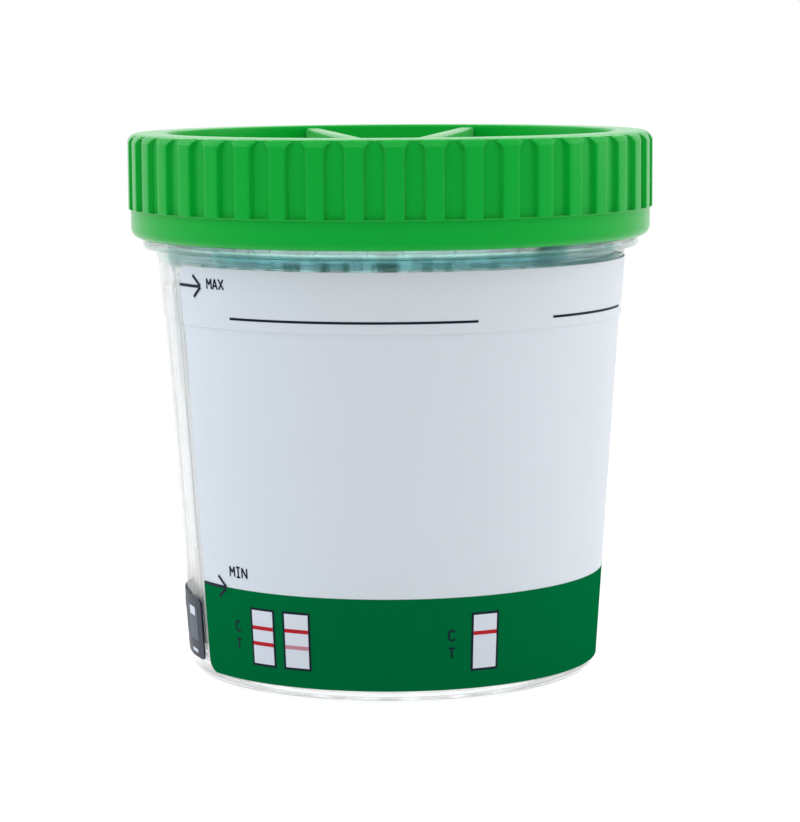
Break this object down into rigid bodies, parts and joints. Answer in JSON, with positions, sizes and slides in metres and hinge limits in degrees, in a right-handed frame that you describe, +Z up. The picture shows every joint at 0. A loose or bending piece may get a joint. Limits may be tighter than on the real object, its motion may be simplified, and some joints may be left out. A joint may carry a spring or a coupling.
{
  "type": "drug test cup",
  "caption": "Round tapered clear specimen cup with a green ribbed screw lid, a wrap label, an adhesive temperature strip and a ring of test strips held in a clear inner sleeve.",
  "frame": {"origin": "middle of the cup's foot, on the surface it stands on", "axes": "+Z up along the cup's axis, -Y towards the front of the label, +X to the front's right"},
  "size_m": [0.078, 0.078, 0.08],
  "materials": {
    "clear_plastic": "clear moulded",
    "sleeve_plastic": "clear moulded",
    "seal_foam": "soft foam sheet",
    "lid_plastic": "moulded, slightly soft gloss",
    "label_sheet": "coated sheet",
    "print_field": "printed",
    "print_dark": "printed",
    "print_white": "printed",
    "dark_film": "film",
    "window_film": "film",
    "strip_card": "thin card",
    "pad": "fibre pad",
    "membrane": "smooth membrane"
  },
  "bodies": {
    "cup": {"cup_body": "clear_plastic", "strip_sleeve": "sleeve_plastic", "label": "label_sheet", "label_band": "print_field", "name_line": "print_dark", "date_line": "print_dark", "max_arrow": "print_dark", "min_arrow": "print_dark", "temperature_strip": "dark_film", "pictogram_1": "print_white", "pictogram_2": "print_white", "pictogram_3": "print_white", "temperature_window_1": "window_film", "temperature_window_2": "window_film", "temperature_window_3": "window_film", "temperature_window_4": "window_film", "temperature_window_5": "window_film", "strip_01_card": "strip_card", "strip_01_sample_pad": "pad", "strip_01_membrane": "membrane", "strip_01_absorbent_pad": "pad", "strip_02_card": "strip_card", "strip_02_sample_pad": "pad", "strip_02_membrane": "membrane", "strip_02_absorbent_pad": "pad", "strip_03_card": "strip_card", "strip_03_sample_pad": "pad", "strip_03_membrane": "membrane", "strip_03_absorbent_pad": "pad", "strip_04_card": "strip_card", "strip_04_sample_pad": "pad", "strip_04_membrane": "membrane", "strip_04_absorbent_pad": "pad", "strip_05_card": "strip_card", "strip_05_sample_pad": "pad", "strip_05_membrane": "membrane", "strip_05_absorbent_pad": "pad", "strip_06_card": "strip_card", "strip_06_sample_pad": "pad", "strip_06_membrane": "membrane", "strip_06_absorbent_pad": "pad", "strip_07_card": "strip_card", "strip_07_sample_pad": "pad", "strip_07_membrane": "membrane", "strip_07_absorbent_pad": "pad", "strip_08_card": "strip_card", "strip_08_sample_pad": "pad", "strip_08_membrane": "membrane", "strip_08_absorbent_pad": "pad", "strip_09_card": "strip_card", "strip_09_sample_pad": "pad", "strip_09_membrane": "membrane", "strip_09_absorbent_pad": "pad", "strip_10_card": "strip_card", "strip_10_sample_pad": "pad", "strip_10_membrane": "membrane", "strip_10_absorbent_pad": "pad"},
    "seal": {"lid_seal": "seal_foam"},
    "lid": {"lid": "lid_plastic"}
  },
  "joints": [
    {"name": "lid_lift", "type": "slide", "parent": "cup", "child": "seal", "axis": [0, 0, 1], "range_m": [0, 0.0136]},
    {"name": "lid_turn", "type": "hinge", "parent": "seal", "child": "lid", "pos_m": [0, 0, 0.0756], "axis": [0, 0, 1], "range_deg": [0, 1080]}
  ],
  "couplings": [
    {"joint": "lid_lift", "follows": "lid_turn", "m_per_rad": 0.0007162}
  ]
}
